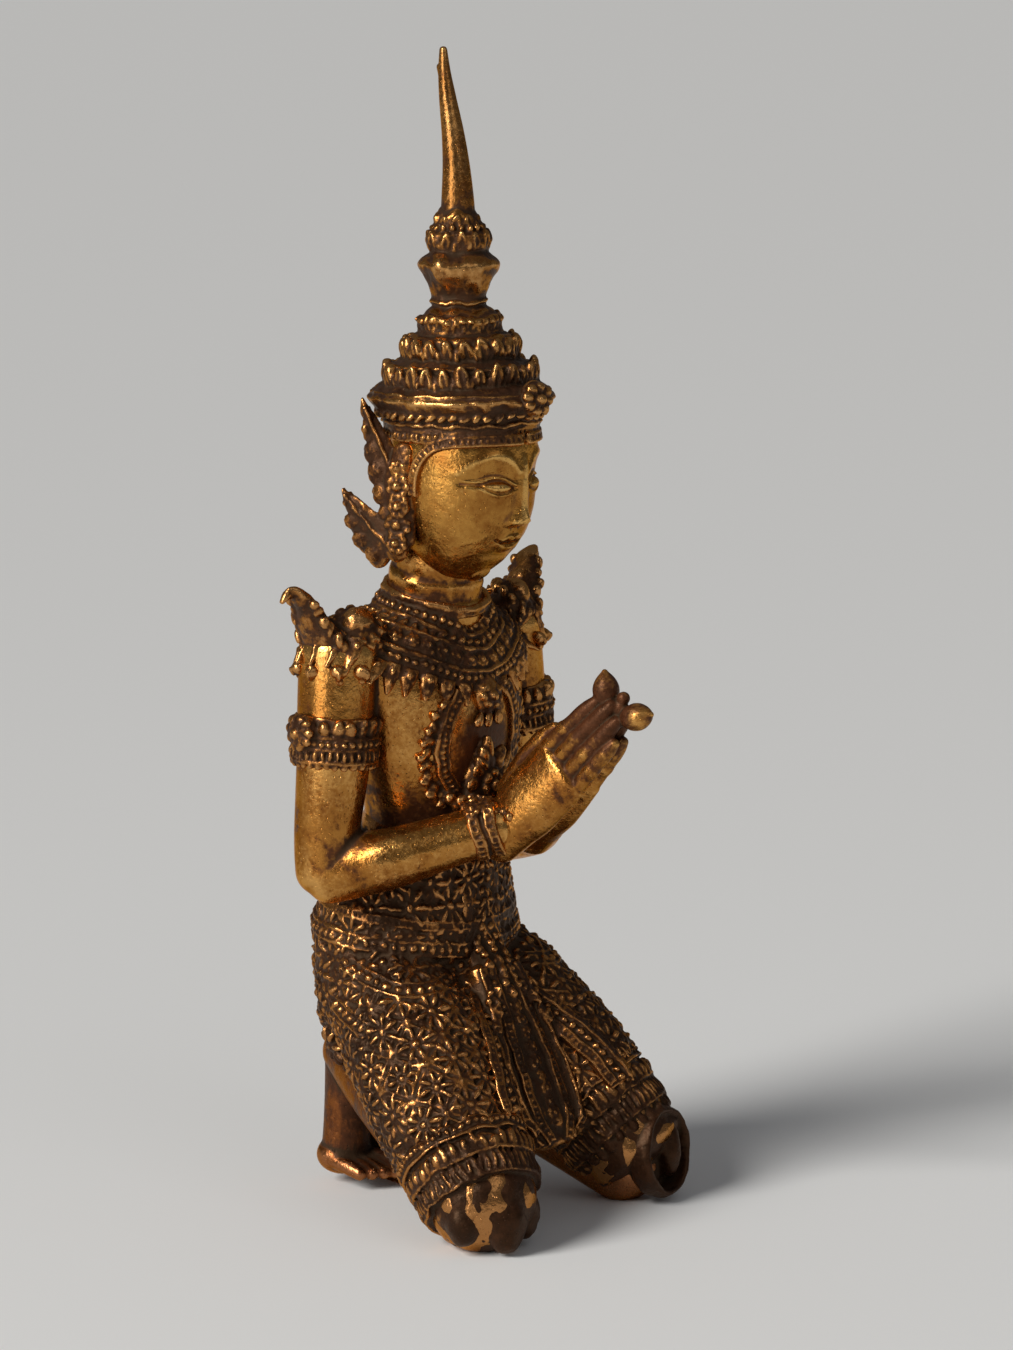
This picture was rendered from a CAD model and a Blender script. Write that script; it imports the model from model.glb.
"""The looks of the kneeling worshipper, cast by the lost-wax way, gilded and worn.

The work goes as the maker's did: wax cores, wax threads and beads pressed on, one cast skin
for each region, then lacquer, gold leaf, handling and dirt. Wax work is in shares: a share
is a 297th of the figure's height. The figure faces -Y, and its right side is at -X.
"""

import math
import random

import bmesh
import bpy
import numpy as np
from mathutils import Matrix, Vector
from mathutils.bvhtree import BVHTree


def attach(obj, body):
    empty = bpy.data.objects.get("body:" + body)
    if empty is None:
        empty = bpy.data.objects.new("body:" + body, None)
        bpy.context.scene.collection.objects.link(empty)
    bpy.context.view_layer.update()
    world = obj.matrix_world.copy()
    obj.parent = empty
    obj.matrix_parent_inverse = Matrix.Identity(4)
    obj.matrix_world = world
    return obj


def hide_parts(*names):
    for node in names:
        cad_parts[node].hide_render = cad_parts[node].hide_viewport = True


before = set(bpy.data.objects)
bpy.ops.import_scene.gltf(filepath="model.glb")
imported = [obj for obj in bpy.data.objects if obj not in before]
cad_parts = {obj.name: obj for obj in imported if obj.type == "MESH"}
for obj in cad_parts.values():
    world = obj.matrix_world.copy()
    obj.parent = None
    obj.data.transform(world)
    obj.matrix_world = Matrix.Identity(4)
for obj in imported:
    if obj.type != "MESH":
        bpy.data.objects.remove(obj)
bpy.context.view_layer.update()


# The bare body: trunk, creased neck and arms, one smooth casting in bronze. It is modelled as
# a wax core built up in round limbs, and it carries every other part of the figure.

SHARE = 0.300 / 297
STAND = np.array((0.0, 23.4, -1.5))
SHOULDER = Vector((-31.8, 0.6, 147.5))
ELBOW = Vector((-36.2, 1.2, 92.2))
WRIST = Vector((-8.0, -31.5, 104.0))
TORSO = (
    (0, 3.0, 46, 27.0, 17.5), (0, 3.0, 54, 28.0, 18.8), (0, 3.0, 62, 28.5, 20.4),
    (0, 3.0, 70, 28.5, 22.0), (0, 2.2, 77, 27.0, 22.0), (0, 0.6, 84, 24.6, 20.2),
    (0, -1.4, 92, 21.6, 17.4), (0, -2.8, 101, 20.2, 15.2), (0, -3.6, 112, 22.5, 15.2),
    (0, -4.2, 124, 26.0, 16.2),
    (0, -4.2, 135, 28.5, 16.4), (0, -3.4, 144, 29.0, 14.6), (0, -2.6, 151, 24.0, 12.4),
    (0, -3.4, 156, 16.0, 12.8), (0, -3.9, 160, 12.9, 12.3), (0, -4.2, 161.5, 12.1, 11.7),
    (0, -4.5, 164.5, 12.6, 12.1), (0, -4.9, 166, 11.8, 11.5), (0, -5.8, 170, 12.0, 11.8),
    (0, -8.5, 178, 11.2, 11.2),
)


hand = random.Random(11)


def spread(stations, steps):
    """A smooth run through tuples of numbers, with steps between each two."""
    rows = []
    last = len(stations) - 1
    for index in range(last):
        before = stations[max(index - 1, 0)]
        start, end = stations[index], stations[index + 1]
        after = stations[min(index + 2, last)]
        for step in range(steps):
            t = step / steps
            rows.append(tuple(
                0.5 * (2 * s + (e - b) * t + (2 * b - 5 * s + 4 * e - a) * t * t
                       + (3 * s - b - 3 * e + a) * t * t * t)
                for b, s, e, a in zip(before, start, end, after)
            ))
    rows.append(tuple(stations[last]))
    return rows


def listed(rows, field, wide, kind=np.float32):
    """One field of a mesh's points, edges or faces, as rows of numbers."""
    table = np.empty(len(rows) * wide, kind)
    rows.foreach_get(field, table)
    return table.reshape(-1, wide)


class Wax:
    """Wax shapes laid together for one casting."""

    def __init__(self):
        self.points, self.faces, self.count = [], [], 0

    def lay(self, points, faces):
        self.points.append(points)
        self.faces.append(faces + self.count)
        self.count += len(points)

    def keep(self, shape, places=(Matrix.Identity(4),)):
        """Takes over a small shape, once at each place, and frees it."""
        bmesh.ops.triangulate(shape, faces=shape.faces[:])
        mesh = bpy.data.meshes.new("shape")
        shape.to_mesh(mesh)
        shape.free()
        points = listed(mesh.vertices, "co", 3)
        faces = listed(mesh.polygons, "vertices", 3, np.int32)
        bpy.data.meshes.remove(mesh)
        for place in places:
            turn = np.array(place)
            self.lay(points @ turn[:3, :3].T + turn[:3, 3], faces)

    def tube(self, frames, sides=8, looped=False):
        """A tube whose rings are frames: (centre, half-width vector, half-height vector)."""
        shape = bmesh.new()
        rows = len(frames) if looped else len(frames) - 1
        made = bmesh.ops.create_grid(shape, x_segments=sides, y_segments=rows, size=1.0)
        for vert in made["verts"]:
            turn = math.pi * (vert.co.x + 1)
            centre, side, up = frames[round((vert.co.y + 1) / 2 * rows) % len(frames)]
            vert.co = centre + side * math.cos(turn) + up * math.sin(turn)
        bmesh.ops.remove_doubles(shape, verts=shape.verts, dist=1e-4)
        if not looped:
            bmesh.ops.holes_fill(shape, edges=shape.edges, sides=0)
        self.keep(shape)

    def limb(self, stations, side=(1, 0, 0), steps=6, sides=32, dome=0.8):
        """A limb through (x, y, z, half-width along side, half-depth), with domed ends."""
        rows = spread(stations, steps)
        points = [Vector(row[:3]) for row in rows]
        rings = []
        for index, row in enumerate(rows):
            ahead = points[min(index + 1, len(points) - 1)] - points[max(index - 1, 0)]
            ahead.normalize()
            across = Vector(side) - ahead * ahead.dot(Vector(side))
            across.normalize()
            rings.append((points[index], across * row[3], ahead.cross(across) * row[4], ahead))
        body = [ring[:3] for ring in rings]
        start, end = rings[0], rings[-1]
        for angle in (12, 24, 36, 48, 58, 67, 75, 82, 87):
            shrink = math.cos(math.radians(angle))
            reach = math.sin(math.radians(angle)) * dome
            body.insert(0, (start[0] - start[3] * start[2].length * reach,
                            start[1] * shrink, start[2] * shrink))
            body.append((end[0] + end[3] * end[2].length * reach,
                         end[1] * shrink, end[2] * shrink))
        self.tube(body, sides)

    def ball(self, centre, radii, turn=None, segments=18):
        """An ellipsoid with half-axes radii, turned by a matrix."""
        place = Matrix.Translation(Vector(centre)) @ (turn.to_4x4() if turn else Matrix())
        place = place @ Matrix.Diagonal(Vector(radii)).to_4x4()
        shape = bmesh.new()
        bmesh.ops.create_uvsphere(shape, u_segments=segments, v_segments=segments - 6,
                                  radius=1.0, matrix=place)
        self.keep(shape)

    def handled(self, amount, wave):
        """Pushes the wax about in soft waves, as fingers and a warm room do."""
        points = np.concatenate(self.points)
        shift = np.zeros_like(points)
        for _ in range(12):
            way, push = (np.array([hand.gauss(0, 1) for _ in range(3)]) for _ in range(2))
            way *= 2 * math.pi / (wave * hand.uniform(0.6, 1.5) * np.linalg.norm(way))
            swell = np.sin(points @ way + hand.uniform(0, 2 * math.pi))
            shift += swell[:, None] * push / np.linalg.norm(push)
        self.points = [points + shift * amount / 3.5]
        self.faces = [np.concatenate(self.faces)]

    def tree(self):
        """The skin of all that is laid, for finding places on it."""
        return BVHTree.FromPolygons(np.concatenate(self.points).tolist(),
                                    np.concatenate(self.faces).tolist())


def poured(wax, name):
    """A mesh from the wax, in metres, standing on the ground."""
    points = (np.concatenate(wax.points) + STAND) * SHARE
    faces = np.concatenate(wax.faces)
    mesh = bpy.data.meshes.new(name)
    mesh.vertices.add(len(points))
    mesh.vertices.foreach_set("co", points.astype(np.float32).ravel())
    mesh.loops.add(faces.size)
    mesh.loops.foreach_set("vertex_index", faces.astype(np.int32).ravel())
    mesh.polygons.add(len(faces))
    mesh.polygons.foreach_set("loop_start", np.arange(0, faces.size, 3, dtype=np.int32))
    mesh.update(calc_edges=True)
    return mesh


def settled(figure):
    """The object's mesh becomes what its modifiers make, and they go."""
    bpy.context.view_layer.update()
    graph = bpy.context.evaluated_depsgraph_get()
    mesh = bpy.data.meshes.new_from_object(figure.evaluated_get(graph))
    figure.modifiers.clear()
    old, figure.data = figure.data, mesh
    bpy.data.meshes.remove(old)


def eased(points, ends, rounds):
    """The points after so many rounds of moving each halfway to its neighbours' middle."""
    count = np.bincount(ends.ravel(), minlength=len(points))[:, None]
    for _ in range(rounds):
        middle = np.stack([
            np.bincount(ends[:, 0], points[ends[:, 1], axis], len(points))
            + np.bincount(ends[:, 1], points[ends[:, 0], axis], len(points))
            for axis in range(3)], axis=1) / count
        points = points * 0.5 + middle * 0.5
    return points


def mark(mesh, name, values):
    """Writes one number per point, for the finish to read."""
    layer = mesh.attributes.new(name, "FLOAT", "POINT")
    layer.data.foreach_set("value", np.asarray(values, np.float32))


def weathered(mesh, stains):
    """Notes where the surface is hollow, where the gold is rubbed away and where dirt sits."""
    points, normals = (listed(mesh.vertices, field, 3) for field in ("co", "normal"))
    ends = listed(mesh.edges, "vertices", 2, np.int32)
    near = eased(points, ends, 6)
    far = eased(near, ends, 34)
    fine = ((near - points) * normals).sum(1) / SHARE
    broad = ((far - points) * normals).sum(1) / SHARE
    mark(mesh, "hollow", np.clip(fine * 3.0 + broad * 0.9, -1, 1))
    shares = points / SHARE - STAND
    for kind in ("bare", "soot"):
        level = np.zeros(len(points))
        for centre, radii, which, strength in stains:
            if which == kind:
                gap = ((shares - np.array(centre)) / np.array(radii)) ** 2
                level += strength * np.exp(-gap.sum(1))
        mark(mesh, kind, np.clip(level, -1, 1))


def fused(wax, name, grain):
    """The wax as an object, its shells to be fused into one skin where it has a grain."""
    figure = bpy.data.objects.new(name, poured(wax, name))
    bpy.context.scene.collection.objects.link(figure)
    if grain:
        skin = figure.modifiers.new("one skin", "REMESH")
        skin.mode = "VOXEL"
        skin.voxel_size = grain * SHARE
    return figure


def cast(wax, name, grain, triangles, finish, smoothing=1, stains=()):
    """One cast skin from the wax: fused, eased, thinned, stood on the ground and finished."""
    figure = fused(wax, name, grain)
    if grain:
        ease = figure.modifiers.new("ease", "SMOOTH")
        ease.factor = 0.5
        ease.iterations = smoothing
        settled(figure)
        made = sum(len(face.vertices) - 2 for face in figure.data.polygons)
        if made > triangles:
            thin = figure.modifiers.new("thin", "DECIMATE")
            thin.ratio = triangles / made
            settled(figure)
    mesh = figure.data
    mesh.name = name
    points = listed(mesh.vertices, "co", 3)
    points[:, 2] = np.maximum(points[:, 2], 0.0)
    mesh.vertices.foreach_set("co", points.ravel())
    mesh.shade_smooth()
    mesh.update()
    weathered(mesh, stains)
    mesh.materials.append(finish)
    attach(figure, "root")
    return figure


class Value:
    """A socket of a finish that takes part in sums."""

    def __init__(self, tree, socket=None):
        self.tree, self.socket = tree, socket

    def make(self, kind, settings, sockets, output=0):
        """Any node: its type, its settings, and the values or links of its sockets."""
        node = self.tree.nodes.new(kind)
        for name, value in settings.items():
            setattr(node, name, value)
        for key, value in sockets.items():
            if isinstance(value, Value):
                self.tree.links.new(value.socket, node.inputs[key])
            else:
                node.inputs[key].default_value = value
        return Value(self.tree, node.outputs[output])

    def sum(self, operation, first, second):
        return self.make("ShaderNodeMath", {"operation": operation}, {0: first, 1: second})

    def __add__(self, other):
        return self.sum("ADD", self, other)

    __radd__ = __add__

    def __sub__(self, other):
        return self.sum("SUBTRACT", self, other)

    def __rsub__(self, other):
        return self.sum("SUBTRACT", other, self)

    def __mul__(self, other):
        return self.sum("MULTIPLY", self, other)

    __rmul__ = __mul__

    def step(self, low, high):
        """0 below low, 1 above high, and a soft rise between."""
        return self.make("ShaderNodeMapRange", {"interpolation_type": "SMOOTHSTEP"},
                         {"Value": self, "From Min": low, "From Max": high})

    def blend(self, first, second):
        """A colour between two, by this value."""
        return self.make("ShaderNodeMix", {"data_type": "RGBA"},
                         {0: self, 6: first, 7: second}, 2)


def aged_gilding(name, gold, lacquer, cover, wear, dirt, sheen):
    """Old leaf over red-brown lacquer: bright where rubbed, thin in patches, dark in hollows."""
    material = bpy.data.materials.new(name)
    material.use_nodes = True
    tree = material.node_tree
    tree.nodes.clear()
    start = Value(tree)
    place = start.make("ShaderNodeTexCoord", {}, {}, "Object")

    def noise(scale, detail, rough=0.55):
        return start.make("ShaderNodeTexNoise", {},
                          {"Vector": place, "Scale": scale, "Detail": detail,
                           "Roughness": rough})

    def note(which):
        return start.make("ShaderNodeAttribute", {"attribute_name": which}, {}, "Fac")

    hollow, bare, soot = note("hollow"), note("bare"), note("soot")
    clouds = noise(60, 3.0)
    patches = noise(230, 4.0, 0.6)
    grains = noise(1000, 3.0, 0.6)
    flakes = noise(520, 2.0, 0.7)
    pores = start.make("ShaderNodeTexVoronoi", {"feature": "F1"},
                       {"Vector": place, "Scale": 900.0})
    pits = 1 - (pores + (patches - 0.5) * 0.5).step(0.06, 0.2)

    stands = 0.0 - hollow
    leaf = (stands * 1.2 + (patches - 0.5) * 2.4 * wear + (clouds - 0.5) * 2.2 * wear
            + (flakes - 0.5) * 1.3 * wear + (grains - 0.5) * 0.7 * wear) * (1 - bare * 0.7)
    leaf = (leaf + cover - bare * 1.1).step(-0.15, 0.5)
    grime = (hollow * 1.2 * dirt + soot + (patches - 0.5) * 0.7 + (clouds - 0.5) * 0.5
             + pits * 0.3).step(0.15, 1.0)
    deep = (gold[0] * 0.52, gold[1] * 0.38, gold[2] * 0.3, 1)
    pale = (min(1.0, gold[0] * 1.45), gold[1] * 1.7, gold[2] * 2.3, 1)
    leaf_colour = (clouds * 0.45 + patches * 0.35 + flakes * 0.2).step(0.36, 0.62).blend(
        deep, gold)
    leaf_colour = (stands * 0.9 + (grains - 0.5) * 1.1 + (clouds - 0.5) * 0.8).step(
        0.2, 0.9).blend(leaf_colour, pale)
    under = (clouds * 0.5 + grains * 0.2 + flakes * 0.3).step(0.35, 0.62).blend(
        tuple(c * 0.4 for c in lacquer[:3]) + (1,), lacquer)
    colour = leaf.blend(under, leaf_colour)
    colour = grime.blend(colour, (0.026, 0.013, 0.0065, 1))
    metal = (leaf * 0.6 + 0.36) * (1 - grime * 0.8)
    rough = (0.42 - leaf * (0.42 - sheen) + (grains - 0.5) * 0.25 + (flakes - 0.5) * 0.35
             + grime * 0.25)
    height = clouds * 0.8 + patches * 0.7 + flakes * 0.35 + grains * 0.25 - pits * 0.35
    bump = start.make("ShaderNodeBump", {}, {"Strength": 0.8, "Distance": 0.00042,
                                             "Height": height}, "Normal")
    shader = start.make("ShaderNodeBsdfPrincipled", {},
                        {"Base Color": colour, "Metallic": metal, "Roughness": rough,
                         "Specular IOR Level": 0.35, "Specular Tint": (1.0, 0.68, 0.42, 1),
                         "Normal": bump}, "BSDF")
    end = tree.nodes.new("ShaderNodeOutputMaterial")
    tree.links.new(shader.socket, end.inputs["Surface"])
    return material


def of_side(point, side):
    """A point of the right side, or its place on the left where side is -1."""
    return Vector((point[0] * side, point[1], point[2]))


def lay_limb(wax, which, rows, **how):
    """A limb of one side, through (point of the right side, half-width, half-depth)."""
    wax.limb([(*of_side(point, which), wide, deep) for point, wide, deep in rows], **how)


def lay_arm(wax, side):
    """Upper arm and forearm of one side: 1 is the right, -1 the left."""
    upper = SHOULDER.lerp(ELBOW, 0.5) + Vector((-1.2, -1.2, 0))
    lay_limb(wax, side, ((SHOULDER, 10.2, 10.2), (SHOULDER.lerp(upper, 0.5), 9.8, 9.8),
                         (upper, 9.3, 9.3), (ELBOW + Vector((0, 0, 9)), 8.0, 8.4),
                         (ELBOW, 7.6, 8.2)), sides=48)
    middle = ELBOW.lerp(WRIST, 0.45) + Vector((-2.6, -1.6, -0.6))
    lay_limb(wax, side, ((ELBOW, 8.3, 7.8), (ELBOW.lerp(middle, 0.5), 8.2, 8.0),
                         (middle, 7.6, 7.6), (WRIST, 6.0, 6.4)), side=(0, 0, 1), sides=48)


bare_skin = aged_gilding("worn_leaf_on_skin", (0.43, 0.19, 0.039, 1),
                         (0.10, 0.033, 0.013, 1), cover=0.28,
                         wear=0.85, dirt=1.05, sheen=0.22)
body_wax = Wax()
body_wax.limb(TORSO, sides=64, dome=0.5)
for side in (1, -1):
    lay_arm(body_wax, side)
body_tree = body_wax.tree()
body = cast(body_wax, "body", 0.5, 66000, bare_skin, smoothing=5, stains=(
    ((0, -20, 122), (13, 9, 13), "bare", 1.0), ((-14, -14, 100), (12, 12, 9), "bare", 0.6),
    ((0, -14, 163.5), (9, 8, 3.0), "soot", 0.35), ((0, -18, 92), (9, 9, 12), "soot", 0.4),
    ((-26, -4, 112), (7, 9, 12), "soot", 0.4), ((26, -4, 112), (7, 9, 12), "soot", 0.4),
    ((-36, 4, 96), (6, 6, 9), "bare", 0.35),
))
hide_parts("figure")


# The head with its calm, general face: an oval core with brows, lids, nose and lips carved
# into the wax, cast with the neck and gilded all over.

HEAD_CENTRE = Vector((0.0, -13.6, 187.0))
FACE_STATIONS = (
    (166.0, -18.6, 3.0, 3.2), (167.2, -17.9, 7.2, 7.7), (169.4, -16.8, 10.6, 11.4),
    (172.6, -15.6, 13.2, 14.3), (176.6, -14.6, 15.0, 16.6), (181.0, -13.9, 16.1, 18.0),
    (186.0, -13.6, 16.8, 18.9), (192.0, -13.6, 17.1, 19.8), (199.0, -13.8, 17.0, 19.8),
    (205.0, -13.6, 15.6, 18.0), (210.0, -13.4, 13.0, 15.0),
)
BROW, UPPER_LID, FOLD, LOWER_LID, MOUTH, UPPER_LIP, LOWER_LIP = (spread(line, 4) for line in (
    ((2.0, 5.0), (4.8, 8.2), (8.8, 9.2), (12.2, 7.7), (14.6, 5.0)),
    ((2.9, 1.0), (5.4, 2.7), (8.4, 3.0), (11.2, 2.2), (14.0, 2.4)),
    ((3.2, 2.6), (5.6, 4.0), (8.6, 4.3), (11.6, 3.4), (14.2, 3.2)),
    ((2.9, 1.0), (5.4, -0.1), (8.4, 0.2), (11.2, 2.0)),
    ((0.0, -13.4), (1.6, -13.1), (3.2, -13.2), (5.0, -12.4)),
    ((0.0, -12.3), (1.3, -11.8), (3.1, -12.5), (4.7, -12.6)),
    ((0.0, -15.0), (1.9, -14.8), (3.9, -13.6)),
))
# Carved lines: (curve, moved up, width, height, how much it fades to its end).
FACE_LINES = (
    (BROW, 0, 1.0, 0.75, 0.5), (UPPER_LID, 0, 0.45, -0.7, 0), (UPPER_LID, 0.75, 0.42, 0.42, 0),
    (FOLD, 0, 0.45, -0.3, 0), (LOWER_LID, 0, 0.4, -0.4, 0), (LOWER_LID, -0.7, 0.4, 0.25, 0),
    (UPPER_LIP, 0, 0.62, 0.95, 0.6), (LOWER_LIP, 0, 0.85, 1.15, 0.5), (MOUTH, 0, 0.32, -0.85, 0),
)
# Soft swellings of half the face: (centre, size, height).
FACE_HILLS = (
    ((7.4, 3.6), (4.6, 3.2), -1.5), ((7.4, 1.4), (3.9, 1.9), 1.75),
    ((9.0, -6.0), (7.0, 6.0), 0.2), ((0.0, -7.0), (1.9, 1.6), 0.9),
    ((2.4, -7.8), (1.15, 1.15), 1.6), ((1.5, -9.6), (0.7, 0.5), -0.5),
    ((0.0, -13.6), (6.5, 3.8), 0.8), ((0.0, -10.7), (0.6, 1.0), -0.3),
    ((0.0, -18.6), (4.2, 2.4), 0.5), ((0.0, -16.9), (3.0, 0.9), -0.35),
)


def near_curve(u, w, points):
    """Distance of each (u, w) from a line through points, and how far along it, 0 to 1."""
    best, along = np.full(u.shape, 1e9), np.zeros(u.shape)
    for index in range(len(points) - 1):
        (x0, y0), (x1, y1) = points[index], points[index + 1]
        run = (x1 - x0) ** 2 + (y1 - y0) ** 2
        t = np.clip(((u - x0) * (x1 - x0) + (w - y0) * (y1 - y0)) / run, 0, 1)
        gap = np.hypot(u - x0 - t * (x1 - x0), w - y0 - t * (y1 - y0))
        closer = gap < best
        best = np.where(closer, gap, best)
        along = np.where(closer, (index + t) / (len(points) - 1), along)
    return best, along


def face_relief(x, z):
    """How far the face stands out at (x, z) from the head's oval, in shares."""
    u, w = np.abs(x), z - HEAD_CENTRE.z - 1.5
    slope = np.clip((7.5 - w) / 15.0, 0, 1)
    nose = np.clip((w + 9.4) / 1.2, 0, 1) * np.clip((9.5 - w) / 3.0, 0, 1)
    rise = (0.9 + 2.1 * slope ** 1.4) * nose * np.exp(-(u / (1.35 + 0.75 * slope)) ** 2)
    for (across, up), (wide, tall), height in FACE_HILLS:
        rise += height * np.exp(-((u - across) / wide) ** 2 - ((w - up) / tall) ** 2)
    for curve, moved, wide, height, fade in FACE_LINES:
        gap, along = near_curve(u, w, [(a, b + moved) for a, b in curve])
        rise += height * np.exp(-(gap / wide) ** 2) * (1 - fade * along)
    return rise


head_wax = Wax()
head_wax.limb([(0, y, z, wide, deep) for z, y, wide, deep in FACE_STATIONS], steps=17,
              sides=210, dome=0.4)
oval = head_wax.points[0]
front = np.clip((HEAD_CENTRE.y - 3.0 - oval[:, 1]) / 7.0, 0, 1)
out = np.stack([oval[:, 0] * 0.35, oval[:, 1] - HEAD_CENTRE.y, np.zeros(len(oval))], axis=1)
out /= np.linalg.norm(out, axis=1)[:, None] + 1e-6
front = front ** 2 * (3 - 2 * front)
oval += out * (face_relief(oval[:, 0], oval[:, 2]) * front)[:, None]
face_leaf = aged_gilding("worn_leaf_on_face", (0.47, 0.228, 0.048, 1),
                         (0.16, 0.06, 0.02, 1), cover=0.85,
                         wear=0.45, dirt=0.35, sheen=0.23)
cast(head_wax, "head", 0, 0, face_leaf, stains=(
    ((14, -20, 190), (8, 12, 16), "bare", 0.35), ((0, -22, 166), (9, 8, 3), "soot", 0.2),
    ((-17, -5, 188), (4, 5, 14), "soot", 0.4),
))


# The hands, pressed palm to palm, with the lotus buds held at the fingertips. Fingers are
# rolled wax laid side by side on the palms, cast with the arms.

HAND_PITCH = math.radians(45)
PALM_START = Vector((0.0, -33.5, 105.0))
PALM_LENGTH = 21.0
FINGERS = ((-6.6, 20.0, 2.35), (-2.2, 23.0, 2.45), (2.3, 21.5, 2.35), (6.4, 17.0, 2.15))
HAND_ALONG = Vector((0, -math.cos(HAND_PITCH), math.sin(HAND_PITCH)))
HAND_ACROSS = Vector((0, -math.sin(HAND_PITCH), -math.cos(HAND_PITCH)))


def lay_hand(wax, side):
    """A hand pressed to the other at X = 0, its thumb upright."""
    def row(forward, over, out, wide, deep):
        spot = PALM_START + HAND_ALONG * forward + HAND_ACROSS * over
        return (spot.x - side * out, spot.y, spot.z, wide, deep)

    wax.limb((row(-6, 1.5, 6.6, 6.4, 5.6), row(0, 1.0, 5.4, 7.4, 5.8),
              row(8, 0.4, 4.5, 9.0, 5.1), row(PALM_LENGTH, 0, 3.2, 9.0, 3.8)),
             side=HAND_ACROSS, sides=32)
    for over, length, thick in FINGERS:
        sway = 0.6 * (1 - abs(over) / 8)
        stations = []
        for t, out, grow in ((-0.18, 2.8, 1.0), (0.08, 2.9, 1.02), (0.3, 2.7 + sway, 0.96),
                             (0.42, 2.6 + sway, 1.06), (0.54, 2.5 + sway, 0.94),
                             (0.72, 2.3, 0.98), (0.88, 2.0, 0.88), (1.0, 1.7, 0.66)):
            stations.append(row(PALM_LENGTH + length * t, over * (1 - 0.14 * max(t, 0)), out,
                                thick * grow, thick * 1.08 * grow))
        wax.limb(stations, side=HAND_ACROSS, steps=3, sides=16)
    wax.limb((row(4, -6.5, 3.6, 3.4, 3.6), row(13, -9.0, 2.6, 2.9, 2.8),
              row(18, -9.6, 2.2, 2.5, 2.4), row(21, -9.6, 1.9, 2.5, 2.4),
              row(26, -9.0, 1.6, 1.7, 1.6)), side=HAND_ACROSS, steps=3, sides=16)


hand_wax = Wax()
for side in (1, -1):
    lay_hand(hand_wax, side)
bud_foot = PALM_START + HAND_ALONG * (PALM_LENGTH + 22.0) - HAND_ACROSS * 0.5
for centre, aim, long, wide in (
    (bud_foot + Vector((0, 3.4, 5.2)), Vector((0, 0.1, 1)), 4.6, 3.4),
    (bud_foot + Vector((0, -6.6, -0.6)), Vector((0, -1, 0.25)), 4.6, 3.5),
):
    aim.normalize()
    hand_wax.limb([(*(centre + aim * long * t), wide * r, wide * r) for t, r in (
        (-1.0, 0.5), (-0.45, 0.92), (0.1, 1.0), (0.6, 0.72), (1.0, 0.22))], steps=4, sides=20)
    hand_wax.limb(((*(bud_foot - HAND_ALONG * 6), 1.5, 1.5),
                   (*(centre - aim * long * 0.7), 1.7, 1.7)), steps=3, sides=12)
hand_wax.ball(bud_foot + Vector((0, -2.2, 3.6)), (1.7, 1.7, 1.7))
hand_wax.ball(bud_foot + Vector((0, -1.0, 1.0)), (2.2, 2.4, 2.4))
cast(hand_wax, "hands", 0.32, 50000, bare_skin, smoothing=3, stains=(
    ((0, -62, 136), (14, 16, 14), "bare", 0.9), ((0, -68, 142), (9, 12, 10), "soot", 0.45),
    ((0, -50, 105), (12, 12, 8), "soot", 0.25),
))


# The shins and feet, bare bronze with the leaf rubbed thin. The feet stand on their toes
# under the seat, the right one hanging a little clear.

KNEE = Vector((-31.0, -46.0, 13.8))
HIP = Vector((-16.5, -2.0, 60.5))
ANKLE = Vector((-7.5, 19.5, 38.0))
FEET_SHIFT = 1.2
FOOT_LIFT = 3.6
TOE_LENGTHS = (13.4, 11.8, 10.2, 8.4, 6.4)


def lay_shin(wax, side):
    """Shin, foot and toes of one side."""
    lay_limb(wax, side, ((KNEE + Vector((0, 3, -2 if side > 0 else -3.5)), 11.0, 11.0),
                         (KNEE.lerp(ANKLE, 0.4), 11.1, 11.1),
                         (KNEE.lerp(ANKLE, 0.75), 9.5, 9.5), (ANKLE, 7.2, 7.4)))
    lift = Vector((0, 0, FOOT_LIFT if side > 0 else 0))
    tread = Vector((-6.6 + FEET_SHIFT * side, 22.6, 7.0)) + lift
    lay_limb(wax, side, ((ANKLE, 6.2, 6.4), (ANKLE.lerp(tread, 0.35), 6.0, 6.2),
                         (ANKLE.lerp(tread, 0.7), 6.4, 5.9), (tread, 6.7, 6.2)))
    wax.ball(of_side(tread + Vector((-0.4, 0.6, -1.6)), side), (7.4, 6.8, 5.4), segments=32)
    for index, length in enumerate(TOE_LENGTHS):
        thick = 2.7 if index == 0 else 2.1
        root = Vector((-1.8 - index * 2.6 + FEET_SHIFT * side, 19.0, 2.2 + thick * 0.5)) + lift
        lay_limb(wax, side, ((root + Vector((0, 3, 1.4)), thick, thick),
                             (root + Vector((0, -length * 0.5, 0.2)), thick, thick),
                             (root + Vector((0, -length, -0.8)), thick * 0.85, thick * 0.85)),
                 steps=3, sides=14)


rubbed_skin = aged_gilding("rubbed_leaf_on_feet", (0.24, 0.082, 0.024, 1),
                           (0.070, 0.023, 0.010, 1), cover=-0.1,
                           wear=0.7, dirt=1.1, sheen=0.28)
shin_wax = Wax()
for side in (1, -1):
    lay_shin(shin_wax, side)
cast(shin_wax, "shins_and_feet", 0.5, 38000, rubbed_skin, smoothing=4, stains=(
    ((-12, 12, 5), (12, 9, 6), "soot", 0.7), ((-16, -8, 24), (16, 20, 16), "soot", 0.9),
    ((18, -10, 20), (18, 24, 16), "soot", 0.6), ((-9, 27, 10), (5, 5, 5), "bare", -0.6),
))


# The trouser cloth over hips and thighs: a thin wax sheet on the core, dressed with a
# lattice of wax threads, a flower in each diamond and beads between, lacquered dark brown.

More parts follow.
